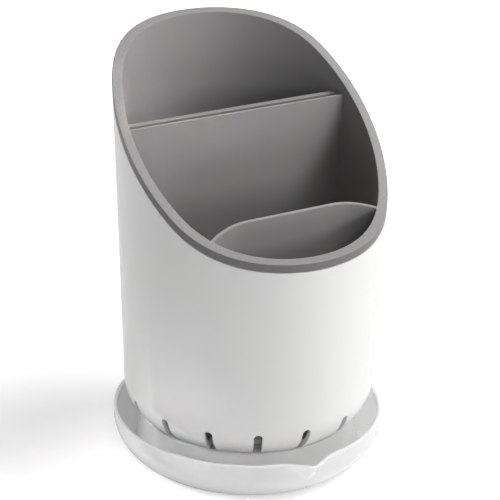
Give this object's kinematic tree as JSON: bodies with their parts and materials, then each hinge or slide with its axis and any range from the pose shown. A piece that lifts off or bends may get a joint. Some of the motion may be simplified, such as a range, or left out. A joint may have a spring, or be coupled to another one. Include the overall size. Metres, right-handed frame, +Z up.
{
  "type": "cutlery stand",
  "caption": "Free-standing cutlery drainer: tapered white sleeve with a scooped rim, lift-out grey divided liner, and a round drip tray with a pouring lip.",
  "frame": {"origin": "on the surface it stands on, under the common axis of tray, sleeve and liner", "axes": "+Z up along the common axis, -Y towards the low front of the rim, +X to the right of the front"},
  "size_m": [0.13, 0.1358, 0.2009],
  "materials": {
    "tray_white": "gloss",
    "sleeve_white": "gloss",
    "liner_grey": "satin"
  },
  "bodies": {
    "tray": {"drip_tray": "tray_white"},
    "sleeve": {"outer_sleeve": "sleeve_white"},
    "liner": {"inner_liner": "liner_grey"}
  },
  "joints": [
    {"name": "sleeve_lift", "type": "slide", "parent": "tray", "child": "sleeve", "axis": [0, 0, 1], "range_m": [0, 0.06]},
    {"name": "liner_lift", "type": "slide", "parent": "sleeve", "child": "liner", "axis": [0, 0, 1], "range_m": [0, 0.175]}
  ]
}
